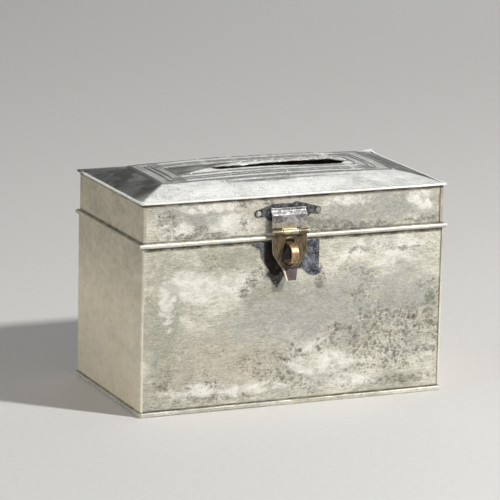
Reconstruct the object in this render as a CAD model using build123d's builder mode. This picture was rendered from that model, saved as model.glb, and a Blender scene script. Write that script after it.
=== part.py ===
"""Tinplate money box: a soldered sheet box with a wire-hinged lid, a coin slot, and a hasp and staple.

Frame: X to the right along the length, Y to the back, Z up. The origin is on the underside, in the middle of the
box. The front, with the hasp, faces -Y. All sizes are in millimetres.
"""

import math
import os

from build123d import *

# ---------------------------------------------------------------- driving dimensions
sheet = 0.5  # tinplate, all panels

body_width = 149.0  # over the end panels
body_depth = 81.0  # over the corner laps
body_height = 77.0  # underside to mouth edge
body_lap = 0.9  # corner lap of an end panel, seen on the front and back

base_rim_height = 2.2
base_rim_thickness = 0.8
base_corner_radius = 1.2

collar_depth = 13.0  # below the mouth edge
collar_rise = 5.0  # above the mouth edge, inside the lid
collar_clearance = 0.4  # to the lid's skirts
collar_joggle = 1.0  # the ledge lies this far below the mouth edge

seam_gap = 0.3  # mouth edge to lid
lid_inset = 0.4  # lid skirts stand inside the body's outer faces
skirt_height = 20.0
lid_lap = 1.5  # corner lap of an end skirt
wire_radius = 0.6
fixed_fit = 0.02  # radial, pieces that don't turn on each other
running_fit = 0.05  # radial, pieces that turn on each other

rim_overhang = 1.4
rim_thickness = 0.8
rim_width = 1.7
panel_length = 116.0  # raised panel of the lid
panel_depth = 42.8
slope_rise = 4.1  # from the rim to the foot of the raised panel
panel_step = 0.9  # from there to the top of the outer bead, at the panel's corners
panel_crown = 1.4  # extra height in the middle of the panel
bead_height = 0.5
bead_width = 1.3
bead_insets = (0.0, 5.4, 8.1, 12.7)  # the panel's edge to the outer side of each bead

slot_left_x = -24.0
slot_right_x = 39.0
slot_y = 1.0
slot_left_radius = 0.9
slot_right_radius = 3.2

hinge_strap_width = 12.0
hinge_spacing = 88.0
hinge_tail = 12.0  # from the hinge axis down
hinge_notch_clearance = 0.3

hasp_x = -4.0  # the hasp hangs a little left of the middle
hasp_width = 17.4
hasp_middle_knuckle = 7.6
knuckle_gap = 0.2
hasp_pin_radius = 0.8
pin_height = 3.9  # hinge pin of the hasp, above the lid's lower edge
hasp_bead_clearance = 0.35  # hasp to the lid's lower bead
hasp_lean = 5.0  # degrees, the way it hangs
hasp_straight = 9.6  # length of its parallel sides, from the pin
hasp_bend = 17.0  # where the tongue begins, from the pin
tongue_length = 5.8
tongue_angle = 12.0
tongue_tip_width = 4.2
hasp_waist = 7.6  # width where the tongue begins
hasp_eye_top = (4.6, 2.2)  # distance from the pin and radius, upper end of the eye
hasp_eye_bottom = (11.5, 4.2)

wing_shoulder = 8.7
wing_half_span = 14.6  # middle to the centre of a round wing end
wing_end_radius = 1.95
wing_end_drop = 8.4  # below the rim
wing_top_drop = 4.2
wing_foot_drop = 12.0
wing_foot_half = 9.6
wing_hump = (4.2, 7.0, 3.4)  # x, drop and radius of the solder hump
strap_top_drop = 6.2
strap_ramp_drop = (7.6, 9.4)  # where the strap leaves the lid, and where it is clear of it

staple_width = 3.6
staple_thickness = 1.0
staple_radius = 5.0
staple_drop = 9.8  # its middle, below the hasp's pin
staple_reach = 6.4  # past the hasp's pin axis
staple_tab = 3.2
leg_hole_clearance = 0.1

staple_plate_top = 0.5  # below the mouth edge
staple_plate_foot = 15.6
staple_plate_half = 14.5
staple_plate_shift = 1.4

rivet_radius = 0.6
rivet_head_radius = 1.3
rivet_head = 0.6
rivet_tail_radius = 1.1
rivet_tail = 0.5

# ---------------------------------------------------------------- derived places
body_x = body_width / 2
body_xi = body_x - sheet
body_y = body_depth / 2
body_yo = body_y - sheet  # outer face of the front and back sheets
body_yi = body_yo - sheet

lid_x = body_x - lid_inset
lid_xi = lid_x - sheet
lid_y = body_y - lid_inset
lid_yo = lid_y - sheet
lid_yi = lid_yo - sheet
lid_base = body_height + seam_gap
skirt_top = lid_base + skirt_height
rim_top = skirt_top + rim_thickness

roll_bore = wire_radius + fixed_fit
roll_radius = roll_bore + sheet
roll_x = lid_xi + roll_radius  # axes of the rolled edge
roll_y = lid_yi + roll_radius
roll_z = lid_base + roll_radius
lap_foot = roll_z + roll_radius + 0.1  # corner laps start just above the rolled edge
bead_out = lid_yi + 2 * roll_radius - lid_yo  # how far the rolled edge stands out of the skirt

knuckle_bore = wire_radius + running_fit
knuckle_radius = knuckle_bore + sheet
strap_back = -(lid_yo + bead_out + hasp_bead_clearance)  # inner face of the strap and of the hasp
hasp_bore = hasp_pin_radius + running_fit
hasp_knuckle = hasp_bore + sheet
pin_y = strap_back - hasp_knuckle
pin_z = lid_base + pin_height

collar_foot = body_height - collar_depth
collar_top = body_height + collar_rise
collar_x = lid_xi - collar_clearance
collar_y = lid_yi - collar_clearance
collar_ledge = body_height - collar_joggle

slope_top = rim_top + slope_rise
panel_top = slope_top + panel_step
hinge_positions = (-hinge_spacing / 2, hinge_spacing / 2)

staple_z = pin_z - staple_drop
staple_arc_y = pin_y - staple_reach + staple_radius
leg_offset = staple_radius - staple_thickness / 2

side_plane = Plane.YZ.offset(hasp_x)
os.makedirs("parts", exist_ok=True)


def front_plane(y, z=0.0):
    """A plane facing the front, with its origin on the hasp's centre line."""
    return Plane(origin=(hasp_x, y, z), x_dir=(1, 0, 0), z_dir=(0, -1, 0))


def save(builder, name):
    """Labels a finished piece and writes it."""
    builder.part.label = name
    export_step(builder.part, f"parts/{name}.step")


def ring(outer_x, outer_y, inner_x, inner_y, z_low, z_high):
    """Adds a rectangular ring to the part being built. The sizes are half-lengths."""
    with BuildSketch(Plane.XY.offset(z_low)) as outline:
        Rectangle(2 * outer_x, 2 * outer_y)
        Rectangle(2 * inner_x, 2 * inner_y, mode=Mode.SUBTRACT)
    extrude(outline.sketch, amount=z_high - z_low)


def block(x_span, y_span, z_span, mode=Mode.ADD):
    """Adds or cuts a box given by its three spans."""
    spans = (x_span, y_span, z_span)
    low = [min(span) for span in spans]
    size = [abs(span[1] - span[0]) for span in spans]
    with Locations(Location(low)):
        Box(*size, align=(Align.MIN, Align.MIN, Align.MIN), mode=mode)


def strip_points(path, thickness):
    """Outline of a bent strip: the path is its right side, and the left side lies a thickness away."""
    directions = [(Vector(*b) - Vector(*a)).normalized() for a, b in zip(path, path[1:])]
    normals = [Vector(-d.Y, d.X) for d in directions]
    other = [Vector(*path[0]) + normals[0] * thickness]
    for corner, before, after in zip(path[1:-1], normals, normals[1:]):
        middle = (before + after).normalized()
        other.append(Vector(*corner) + middle * (thickness / middle.dot(before)))
    other.append(Vector(*path[-1]) + normals[-1] * thickness)
    return [*path, *[(p.X, p.Y) for p in reversed(other)]]


def mitre(x_sign, y_sign):
    """The vertical mitre plane of a lid corner. Its top side holds the end skirt's roll."""
    return Plane(origin=(x_sign * lid_xi, y_sign * lid_yi, 0), z_dir=(x_sign, -y_sign, 0))


def rivet_holes(places, plane, depth):
    """Cuts clearance holes for rivets through the part being built."""
    with BuildSketch(plane) as holes:
        with Locations(*places):
            Circle(rivet_radius + fixed_fit)
    extrude(holes.sketch, amount=depth, both=True, mode=Mode.SUBTRACT)


def rivets(places, plane, grip):
    """Rivets on a plane: the head stands out of it, and the tail is set behind the grip."""
    with BuildPart() as made:
        for start, radius, amount in (
            (0, rivet_head_radius, rivet_head),
            (0, rivet_radius, -grip),
            (-grip, rivet_tail_radius, -rivet_tail),
        ):
            with BuildSketch(plane.offset(start)):
                with Locations(*places):
                    Circle(radius)
            extrude(amount=amount)
        heads = made.edges().filter_by(GeomType.CIRCLE).filter_by(
            lambda e: abs(plane.to_local_coords(e.center()).Z - rivet_head) < 1e-6
        )
        fillet(heads, rivet_head * 0.7)
    return made


# ---------------------------------------------------------------- box: base and panels
with BuildPart() as base_pan:
    rim_x = body_x + base_rim_thickness
    rim_y = body_y + base_rim_thickness
    with BuildSketch():
        RectangleRounded(2 * rim_x, 2 * rim_y, base_corner_radius)
    extrude(amount=base_rim_height)
    with BuildSketch(Plane.XY.offset(sheet)):
        Rectangle(body_width, body_depth)
    extrude(amount=base_rim_height, mode=Mode.SUBTRACT)
    rounding = base_rim_thickness * 0.8
    outside = base_pan.faces().filter_by(Axis.Z, reverse=True).filter_by(
        lambda f: max(abs(f.center().X) / rim_x, abs(f.center().Y) / rim_y) > 0.995
        or f.geom_type == GeomType.CYLINDER
    )
    outer_edges = outside.edges().filter_by(Axis.Z, reverse=True)
    fillet(outer_edges.group_by(Axis.Z)[0] + outer_edges.group_by(Axis.Z)[-1], rounding)
save(base_pan, "base_pan")


def leg_holes(depth_span):
    """Cuts the two holes that the staple's legs pass."""
    half = staple_width / 2 + leg_hole_clearance
    for z in (staple_z - leg_offset, staple_z + leg_offset):
        thick = staple_thickness / 2 + leg_hole_clearance
        block((hasp_x - half, hasp_x + half), depth_span, (z - thick, z + thick), Mode.SUBTRACT)


with BuildPart() as front_panel:
    block((-body_xi, body_xi), (-body_yi, -body_yo), (sheet, body_height))
    leg_holes((-body_y, -body_yi + sheet))
save(front_panel, "front_panel")

strap_rivet_z = roll_z - hinge_tail + 3.0
strap_rivet_places = [(x + dx, strap_rivet_z) for x in hinge_positions for dx in (-3.2, 3.2)]
back_plane = Plane(origin=(0, body_yo + sheet, 0), x_dir=(-1, 0, 0), z_dir=(0, 1, 0))

with BuildPart() as back_panel:
    block((-body_xi, body_xi), (body_yi, body_yo), (sheet, body_height))
    rivet_holes(strap_rivet_places, back_plane, 4 * sheet)
save(back_panel, "back_panel")


def end_sheet(side):
    """An end sheet of the box, with narrow laps turned over the front and back sheets."""
    with BuildPart() as made:
        block((side * body_xi, side * body_x), (-body_y, body_y), (sheet, body_height))
        for y in (-1, 1):
            lap_x = (side * (body_x - body_lap), side * body_x)
            block(lap_x, (y * body_yo, y * body_y), (sheet, body_height))
        corners = made.edges().filter_by(Axis.Z).filter_by(
            lambda e: abs(e.center().X) > body_x - 0.01 and abs(e.center().Y) > body_y - 0.01
        )
        fillet(corners, sheet * 0.9)
    return made


save(end_sheet(-1), "left_end_panel")
save(end_sheet(1), "right_end_panel")

# ---------------------------------------------------------------- box: collar round the mouth
with BuildPart() as mouth_collar:
    ring(body_xi, body_yi, body_xi - sheet, body_yi - sheet, collar_foot, collar_ledge)
    ring(body_xi, body_yi, collar_x - sheet, collar_y - sheet, collar_ledge - sheet, collar_ledge)
    ring(collar_x, collar_y, collar_x - sheet, collar_y - sheet, collar_ledge - sheet, collar_top)
    leg_holes((-body_y, -collar_y + 2 * sheet))
    rivet_holes(strap_rivet_places, back_plane, 4 * sheet)
save(mouth_collar, "mouth_collar")

# ---------------------------------------------------------------- box: hinge straps on the back
for side_name, strap_x in zip(("left", "right"), hinge_positions):
    with BuildPart() as hinge_strap:
        with BuildSketch(Plane.YZ.offset(strap_x)):
            with Locations((roll_y, roll_z)):
                Circle(knuckle_radius)
            with Locations((body_yo, roll_z - hinge_tail)):
                Rectangle(sheet, hinge_tail - knuckle_bore, align=(Align.MIN, Align.MIN))
            with Locations((roll_y, roll_z)):
                Circle(knuckle_bore, mode=Mode.SUBTRACT)
        extrude(amount=hinge_strap_width / 2, both=True)
        rivet_holes(strap_rivet_places, back_plane, 2 * sheet)
    save(hinge_strap, f"{side_name}_hinge_strap")

save(rivets(strap_rivet_places, back_plane, 3 * sheet), "hinge_strap_rivets")

# ---------------------------------------------------------------- box: staple and its plate
plate_plane = front_plane(-body_yo, body_height)

with BuildPart() as staple_plate:
    with BuildSketch(plate_plane):
        with BuildLine():
            left = staple_plate_shift - staple_plate_half
            right = staple_plate_shift + staple_plate_half
            top = -staple_plate_top
            foot = -staple_plate_foot
            Polyline((left - 5.0, top - 0.8), (left - 1.5, top), (right, top), (right, foot + 1.5))
            Polyline((right, foot + 1.5), (right + 1.9, foot + 2.4), (right + 0.9, foot - 0.8))
            ThreePointArc((right + 0.9, foot - 0.8), (right - 2.4, foot - 1.9), (right - 7.2, foot + 1.0))
            ThreePointArc((right - 7.2, foot + 1.0), (1.6, foot + 2.2), (left + 9.4, foot + 0.6))
            ThreePointArc((left + 9.4, foot + 0.6), (left + 7.2, foot - 0.8), (left + 5.0, foot + 0.6))
            Polyline((left + 5.0, foot + 0.6), (left, foot + 8.2), (left, top - 3.8), (left - 5.0, top - 0.8))
        make_face()
    extrude(amount=sheet)
    leg_holes((-body_y - sheet, -body_yo + sheet))
save(staple_plate, "staple_plate")

with BuildPart() as staple:
    with BuildSketch(side_plane):
        tab_y = -(body_yi - sheet)  # inner face of the collar, where the legs are turned down
        with Locations((staple_arc_y, staple_z)):
            Circle(staple_radius)
        with Locations((staple_arc_y, staple_z)):
            Rectangle(tab_y - staple_arc_y, 2 * staple_radius, align=(Align.MIN, Align.CENTER))
        with Locations((staple_arc_y, staple_z)):
            Circle(staple_radius - staple_thickness, mode=Mode.SUBTRACT)
            Rectangle(
                tab_y - staple_arc_y,
                2 * (staple_radius - staple_thickness),
                align=(Align.MIN, Align.CENTER),
                mode=Mode.SUBTRACT,
            )
        for leg_z in (staple_z - leg_offset, staple_z + leg_offset):
            with Locations((tab_y, leg_z + staple_thickness / 2)):
                Rectangle(staple_thickness * 0.6, staple_tab, align=(Align.MIN, Align.MAX))
    extrude(amount=staple_width / 2, both=True)
save(staple, "staple")

# ---------------------------------------------------------------- lid: skirts with a rolled edge
def long_skirt(side):
    """The front (side -1) or back (side 1) skirt, rolled outwards over the edge wire."""
    with BuildPart() as made:
        with BuildSketch(Plane.YZ):
            with Locations((side * roll_y, roll_z)):
                Circle(roll_radius)
            with Locations((side * (lid_yi + lid_yo) / 2, roll_z)):
                Rectangle(sheet, skirt_top - roll_z, align=(Align.CENTER, Align.MIN))
            with Locations((side * roll_y, roll_z)):
                Circle(roll_bore, mode=Mode.SUBTRACT)
        extrude(amount=roll_x + 2 * roll_radius, both=True)
        for x in (-1, 1):
            split(bisect_by=mitre(x, side), keep=Keep.BOTTOM)
        for x in (-1, 1):
            beyond = (x * lid_xi, x * (roll_x + 2 * roll_radius))
            block(beyond, (side * (lid_yi - sheet), side * lid_yo), (lap_foot, skirt_top + 1), Mode.SUBTRACT)
    return made


def end_skirt(side):
    """An end skirt, rolled over the wire, with laps turned over the front and back skirts."""
    with BuildPart() as made:
        with BuildSketch(Plane.XZ):
            with Locations((side * roll_x, roll_z)):
                Circle(roll_radius)
                Circle(roll_bore, mode=Mode.SUBTRACT)
        extrude(amount=roll_y + 2 * roll_radius, both=True)
        for y in (-1, 1):
            split(bisect_by=mitre(side, y), keep=Keep.TOP)
        block((side * lid_xi, side * lid_x), (-lid_yi, lid_yi), (roll_z, skirt_top))
        block((side * lid_xi, side * lid_x), (-lid_y, lid_y), (lap_foot, skirt_top))
        for y in (-1, 1):
            lap_x = (side * (lid_x - lid_lap), side * lid_x)
            block(lap_x, (y * lid_yo, y * lid_y), (lap_foot, skirt_top))
        corners = made.edges().filter_by(Axis.Z).filter_by(
            lambda e: abs(e.center().X) > lid_x - 0.01 and abs(e.center().Y) > lid_y - 0.01
        )
        fillet(corners, sheet * 0.9)
    return made


wing_end_z = rim_top - wing_end_drop
wing_rivet_places = [(-wing_half_span, 0), (wing_half_span, 0)]
wing_plane = front_plane(-lid_yo, wing_end_z)

with BuildPart() as lid_front_skirt:
    add(long_skirt(-1).part)
    rivet_holes(wing_rivet_places, wing_plane, 3 * sheet)
save(lid_front_skirt, "lid_front_skirt")

with BuildPart() as lid_back_skirt:
    add(long_skirt(1).part)
    for strap_x in hinge_positions:
        half = hinge_strap_width / 2 + hinge_notch_clearance
        notch_top = roll_z + knuckle_radius + hinge_notch_clearance
        y_span = (lid_yi - sheet, roll_y + 2 * roll_radius)
        block((strap_x - half, strap_x + half), y_span, (lid_base - sheet, notch_top), Mode.SUBTRACT)
save(lid_back_skirt, "lid_back_skirt")

save(end_skirt(-1), "lid_left_skirt")
save(end_skirt(1), "lid_right_skirt")

# ---------------------------------------------------------------- lid: wires in the rolled edge
end_wire_stop = roll_y - wire_radius - 2 * fixed_fit

with BuildPart() as lid_edge_wire:
    with BuildSketch(Plane.YZ):
        with Locations((-roll_y, roll_z)):
            Circle(wire_radius)
    extrude(amount=roll_x, both=True)
    for x in (-roll_x, roll_x):
        with Locations((x, -roll_y, roll_z)):
            Sphere(wire_radius)
        with BuildSketch(Plane(origin=(x, -roll_y, roll_z), x_dir=(1, 0, 0), z_dir=(0, 1, 0))):
            Circle(wire_radius)
        extrude(amount=roll_y + end_wire_stop)
save(lid_edge_wire, "lid_edge_wire")

with BuildPart() as hinge_wire:
    with BuildSketch(Plane.YZ):
        with Locations((roll_y, roll_z)):
            Circle(wire_radius)
    extrude(amount=roll_x, both=True)
save(hinge_wire, "hinge_wire")


# ---------------------------------------------------------------- lid: top sheet
def crown_block(half_x, half_y, z_low, corner_z):
    """A block under the crowned panel surface, which reaches corner_z at the panel's ends."""
    with BuildPart() as made:
        with BuildSketch(Plane.XZ):
            with BuildLine():
                ends = panel_length / 2
                crown = ThreePointArc((-ends, corner_z), (0, corner_z + panel_crown), (ends, corner_z))
                Polyline(crown @ 1, (ends, z_low), (-ends, z_low), crown @ 0)
            make_face()
        extrude(amount=half_y, both=True)
        with BuildSketch(Plane.XY.offset(z_low)):
            Rectangle(2 * half_x, 2 * half_y)
        extrude(amount=corner_z + 2 * panel_crown - z_low, mode=Mode.INTERSECT)
    return made.part


panel_x = panel_length / 2
panel_y = panel_depth / 2
groove_depth_z = panel_top - bead_height

with BuildPart() as bead_grooves:
    for bead, inner in zip(bead_insets, bead_insets[1:]):
        outer = bead + bead_width
        ring(panel_x - outer, panel_y - outer, panel_x - inner, panel_y - inner, slope_top, panel_top + 3)
    last = bead_insets[-1] + bead_width
    block((last - panel_x, panel_x - last), (last - panel_y, panel_y - last), (slope_top, panel_top + 3))
    add(crown_block(panel_x, panel_y, slope_top - 1, groove_depth_z), mode=Mode.SUBTRACT)

with BuildPart() as lid_hollow:
    hollow_z = rim_top - sheet
    block((-collar_x, collar_x), (-collar_y, collar_y), (skirt_top, hollow_z))
    with BuildSketch(Plane.XY.offset(hollow_z)):
        Rectangle(2 * collar_x, 2 * collar_y)
    with BuildSketch(Plane.XY.offset(slope_top - sheet)):
        Rectangle(2 * (panel_x - sheet), 2 * (panel_y - sheet))
    loft()
    add(crown_block(panel_x - sheet, panel_y - sheet, slope_top - sheet, groove_depth_z - sheet))

with BuildPart() as lid_top:
    rim_half_x = lid_x + rim_overhang
    rim_half_y = lid_y + rim_overhang
    with BuildSketch(Plane.XY.offset(skirt_top)):
        RectangleRounded(2 * rim_half_x, 2 * rim_half_y, 0.8 * rim_overhang)
    extrude(amount=rim_thickness)
    fillet(lid_top.edges().group_by(Axis.Z)[-1], rim_thickness * 0.45)
    fillet(lid_top.edges().group_by(Axis.Z)[0], rim_thickness * 0.35)
    with BuildSketch(Plane.XY.offset(rim_top)):
        Rectangle(2 * (rim_half_x - rim_width), 2 * (rim_half_y - rim_width))
    with BuildSketch(Plane.XY.offset(slope_top)):
        Rectangle(panel_length, panel_depth)
    loft()
    add(crown_block(panel_x, panel_y, slope_top, panel_top))
    add(bead_grooves.part, mode=Mode.SUBTRACT)
    add(lid_hollow.part, mode=Mode.SUBTRACT)
    with BuildSketch(Plane.XY.offset(slope_top - 2)):
        with Locations((slot_left_x, slot_y)):
            Circle(slot_left_radius)
        with Locations((slot_right_x, slot_y)):
            Circle(slot_right_radius)
        make_hull()
    extrude(amount=panel_step + panel_crown + 6, mode=Mode.SUBTRACT)
save(lid_top, "lid_top")

# ---------------------------------------------------------------- lid: strap that carries the hasp
with BuildPart() as hasp_wings:
    with BuildSketch(wing_plane):
        top = wing_end_drop - wing_top_drop
        foot = wing_end_drop - wing_foot_drop
        with BuildLine():
            rise = Spline(
                (-wing_half_span, wing_end_radius), (-wing_shoulder, top - 0.35), (0, top), tangents=[(1, 0.2), (1, 0)]
            )
            fall = Spline(
                (0, top), (wing_shoulder, top - 0.35), (wing_half_span, wing_end_radius), tangents=[(1, 0), (1, -0.2)]
            )
            Polyline(
                fall @ 1,
                (wing_half_span, -wing_end_radius),
                (wing_foot_half + 1.6, 0.3 - wing_end_radius),
                (wing_foot_half, foot),
                (-wing_foot_half, foot),
                (-wing_foot_half - 1.6, 0.3 - wing_end_radius),
                (-wing_half_span, -wing_end_radius),
                rise @ 0,
            )
        make_face()
        with Locations(*wing_rivet_places):
            Circle(wing_end_radius)
        with Locations((wing_hump[0], wing_end_drop - wing_hump[1])):
            Circle(wing_hump[2])
    extrude(amount=sheet)
    rivet_holes(wing_rivet_places, wing_plane, 3 * sheet)
save(hasp_wings, "hasp_wings")

save(rivets(wing_rivet_places, wing_plane.offset(sheet), 2 * sheet), "hasp_wing_rivets")

strap_seat = -(lid_yo + sheet)  # outer face of the wings
strap_path = [
    (strap_back, pin_z),
    (strap_back, rim_top - strap_ramp_drop[1]),
    (strap_seat, rim_top - strap_ramp_drop[0]),
    (strap_seat, rim_top - strap_top_drop),
]
middle_half = hasp_middle_knuckle / 2

with BuildPart() as hasp_strap:
    with BuildSketch(side_plane):
        with BuildLine():
            Polyline(*strip_points(strap_path, sheet), close=True)
        make_face()
        with Locations((pin_y, pin_z)):
            Circle(hasp_knuckle)
            Circle(hasp_pin_radius + fixed_fit, mode=Mode.SUBTRACT)
    extrude(amount=hasp_width / 2, both=True)
    for x in (-1, 1):
        x_span = (hasp_x + x * middle_half, hasp_x + x * hasp_width)
        clear_z = pin_z + hasp_knuckle + hasp_bead_clearance
        block(x_span, (pin_y - 5, pin_y + 5), (pin_z - 5, clear_z), Mode.SUBTRACT)
save(hasp_strap, "hasp_strap")

with BuildPart() as hasp_pin:
    with BuildSketch(Plane(origin=(hasp_x, pin_y, pin_z), x_dir=(0, 1, 0), z_dir=(1, 0, 0))):
        Circle(hasp_pin_radius)
    extrude(amount=hasp_width / 2 + 0.3, both=True)
save(hasp_pin, "hasp_pin")

# ---------------------------------------------------------------- hasp
lean = math.radians(hasp_lean)
tongue = math.radians(tongue_angle)
pin_centre = (hasp_x, pin_y, pin_z)
hasp_side = Plane(origin=pin_centre, x_dir=(0, math.cos(lean), -math.sin(lean)), z_dir=(1, 0, 0))
hasp_front = Plane(origin=pin_centre, x_dir=(1, 0, 0), z_dir=(0, -math.cos(lean), math.sin(lean)))
tongue_foot = hasp_bend + tongue_length * math.cos(tongue)
hasp_path = [
    (hasp_knuckle - tongue_length * math.sin(tongue), -tongue_foot),
    (hasp_knuckle, -hasp_bend),
    (hasp_knuckle, 0),
]

with BuildPart() as hasp:
    with BuildSketch(hasp_side):
        with BuildLine():
            Polyline(*strip_points(hasp_path, sheet), close=True)
        make_face()
        Circle(hasp_knuckle)
        Circle(hasp_bore, mode=Mode.SUBTRACT)
    extrude(amount=hasp_width / 2, both=True)
    with BuildSketch(hasp_front) as hasp_outline:
        half = hasp_width / 2
        with BuildLine():
            Polyline(
                (-half, hasp_knuckle + 1),
                (-half, -hasp_straight),
                (-hasp_waist / 2, -hasp_bend),
                (-tongue_tip_width / 2, -tongue_foot - 1),
                (tongue_tip_width / 2, -tongue_foot - 1),
                (hasp_waist / 2, -hasp_bend),
                (half, -hasp_straight),
                (half, hasp_knuckle + 1),
                close=True,
            )
        make_face()
        fillet(hasp_outline.vertices().group_by(Axis.Y)[2], 4.0)
        fillet(hasp_outline.vertices().group_by(Axis.Y)[1], 3.0)
        fillet(hasp_outline.vertices().group_by(Axis.Y)[0], tongue_tip_width * 0.42)
        gap_half = middle_half + knuckle_gap
        with Locations((0, -hasp_knuckle - hasp_bead_clearance)):
            Rectangle(2 * gap_half, 5, align=(Align.CENTER, Align.MIN), mode=Mode.SUBTRACT)
    extrude(amount=10, both=True, mode=Mode.INTERSECT)
    with BuildSketch(hasp_front):
        for distance, radius in (hasp_eye_top, hasp_eye_bottom):
            with Locations((0, -distance)):
                Circle(radius)
        make_hull()
    extrude(amount=10, both=True, mode=Mode.SUBTRACT)
save(hasp, "hasp")
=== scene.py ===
"""Looks of the tinplate money box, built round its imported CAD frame.

The frame is in metres. Sizes here are in millimetres, and MM turns them into metres.
"""

import math

import bmesh
import bpy
from mathutils import Matrix, Vector, noise


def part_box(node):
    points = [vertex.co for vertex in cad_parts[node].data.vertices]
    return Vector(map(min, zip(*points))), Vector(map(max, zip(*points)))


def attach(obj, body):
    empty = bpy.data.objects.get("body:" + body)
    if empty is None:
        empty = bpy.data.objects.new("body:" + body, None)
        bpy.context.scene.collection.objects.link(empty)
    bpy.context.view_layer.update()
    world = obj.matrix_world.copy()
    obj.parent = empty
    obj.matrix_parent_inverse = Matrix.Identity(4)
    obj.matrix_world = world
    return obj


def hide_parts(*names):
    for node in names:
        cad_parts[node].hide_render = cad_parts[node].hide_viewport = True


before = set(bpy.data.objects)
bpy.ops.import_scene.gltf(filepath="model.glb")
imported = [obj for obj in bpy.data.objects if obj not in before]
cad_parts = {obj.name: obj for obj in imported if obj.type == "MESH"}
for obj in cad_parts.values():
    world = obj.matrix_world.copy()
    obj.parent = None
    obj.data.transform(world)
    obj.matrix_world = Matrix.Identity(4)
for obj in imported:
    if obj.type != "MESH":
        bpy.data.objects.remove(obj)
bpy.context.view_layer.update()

MM = 0.001


def corners(node):
    """Lowest and highest corner of a CAD node, in millimetres."""
    low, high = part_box(node)
    return Vector(low) / MM, Vector(high) / MM


# ---------------------------------------------------------------- materials
ROUND = (1, 1, 1)  # noise that isn't stretched


class Surface:
    """One material, with short names for the nodes it is built from. Lengths in it are millimetres."""

    def __init__(self, name, metallic, coat=0.0):
        self.material = bpy.data.materials.new(name)
        self.material.use_nodes = True
        self.tree = self.material.node_tree
        self.tree.nodes.clear()
        self.shader = self.tree.nodes.new("ShaderNodeBsdfPrincipled")
        output = self.tree.nodes.new("ShaderNodeOutputMaterial")
        self.tree.links.new(self.shader.outputs[0], output.inputs[0])
        self.shader.inputs["Metallic"].default_value = metallic
        self.shader.inputs["Coat Weight"].default_value = coat
        place = self.tree.nodes.new("ShaderNodeTexCoord").outputs["Object"]
        self.place = self.vector("MULTIPLY", place, (1 / MM, 1 / MM, 1 / MM))
        parts = self.tree.nodes.new("ShaderNodeSeparateXYZ")
        self.tree.links.new(self.place, parts.inputs[0])
        self.x, self.y, self.z = parts.outputs

    def put(self, socket, value):
        if isinstance(value, bpy.types.NodeSocket):
            self.tree.links.new(value, socket)
        else:
            socket.default_value = value

    def vector(self, operation, a, b):
        node = self.tree.nodes.new("ShaderNodeVectorMath")
        node.operation = operation
        self.put(node.inputs[0], a)
        self.put(node.inputs[1], b)
        return node.outputs[0]

    def math(self, operation, a, b=0.0):
        node = self.tree.nodes.new("ShaderNodeMath")
        node.operation = operation
        self.put(node.inputs[0], a)
        self.put(node.inputs[1], b)
        return node.outputs[0]

    def times(self, a, b):
        return self.math("MULTIPLY", a, b)

    def plus(self, a, b):
        return self.math("ADD", a, b)

    def minus(self, a, b):
        return self.math("SUBTRACT", a, b)

    def most(self, a, b):
        return self.math("MAXIMUM", a, b)

    def span(self, value, low, high, to_low=0.0, to_high=1.0):
        """Smoothly maps low..high to to_low..to_high."""
        node = self.tree.nodes.new("ShaderNodeMapRange")
        node.interpolation_type = "SMOOTHSTEP"
        for index, item in enumerate((value, low, high, to_low, to_high)):
            self.put(node.inputs[index], item)
        return node.outputs[0]

    def noise(self, size, detail=3.0, rough=0.5, distortion=0.0, stretch=ROUND, shift=0.0):
        """Noise whose features are about size millimetres wide, times stretch along each axis."""
        scaled = self.vector("MULTIPLY", self.place, tuple(1 / s for s in stretch))
        moved = self.vector("ADD", scaled, (shift, shift * 1.7, shift * 0.6))
        node = self.tree.nodes.new("ShaderNodeTexNoise")
        self.put(node.inputs["Vector"], moved)
        node.inputs["Scale"].default_value = 1 / size
        node.inputs["Detail"].default_value = detail
        node.inputs["Roughness"].default_value = rough
        node.inputs["Distortion"].default_value = distortion
        return node.outputs["Fac"]

    def cells(self, size, shift=0.0):
        """Distance to scattered points about size millimetres apart, as a share of that size."""
        wobble = self.noise(size * 0.7, 3, shift=shift + 3)
        moved = self.vector("ADD", self.place, (shift, shift, shift))
        node = self.tree.nodes.new("ShaderNodeTexVoronoi")
        self.put(node.inputs["Vector"], moved)
        node.inputs["Scale"].default_value = 1 / size
        return self.plus(node.outputs["Distance"], self.span(wobble, 0.2, 0.8, -0.09, 0.09))

    def mix(self, factor, a, b, blend="MIX"):
        node = self.tree.nodes.new("ShaderNodeMix")
        node.data_type = "RGBA"
        node.blend_type = blend
        self.put(node.inputs[0], factor)
        self.put(node.inputs[6], a if isinstance(a, bpy.types.NodeSocket) else (*a, 1))
        self.put(node.inputs[7], b if isinstance(b, bpy.types.NodeSocket) else (*b, 1))
        return node.outputs[2]

    def near(self, value, centre, reach):
        """1 at a coordinate, falling to 0 at reach from it."""
        away = self.math("ABSOLUTE", self.minus(value, centre))
        return self.span(away, 0.0, reach, 1.0, 0.0)

    def pointed(self):
        """1 on sharp outer edges, 0 elsewhere."""
        return self.tree.nodes.new("ShaderNodeNewGeometry").outputs["Pointiness"]

    def bump(self, height, depth, previous=None):
        node = self.tree.nodes.new("ShaderNodeBump")
        node.inputs["Distance"].default_value = depth * MM
        self.put(node.inputs["Height"], height)
        if previous is not None:
            self.put(node.inputs["Normal"], previous)
        return node.outputs[0]

    def finish(self, colour, roughness, normal):
        self.put(self.shader.inputs["Base Color"], colour)
        self.put(self.shader.inputs["Roughness"], roughness)
        self.put(self.shader.inputs["Normal"], normal)
        return self.material


PANEL_HALF = Vector((58.0, 21.4))  # raised panel of the lid

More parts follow.
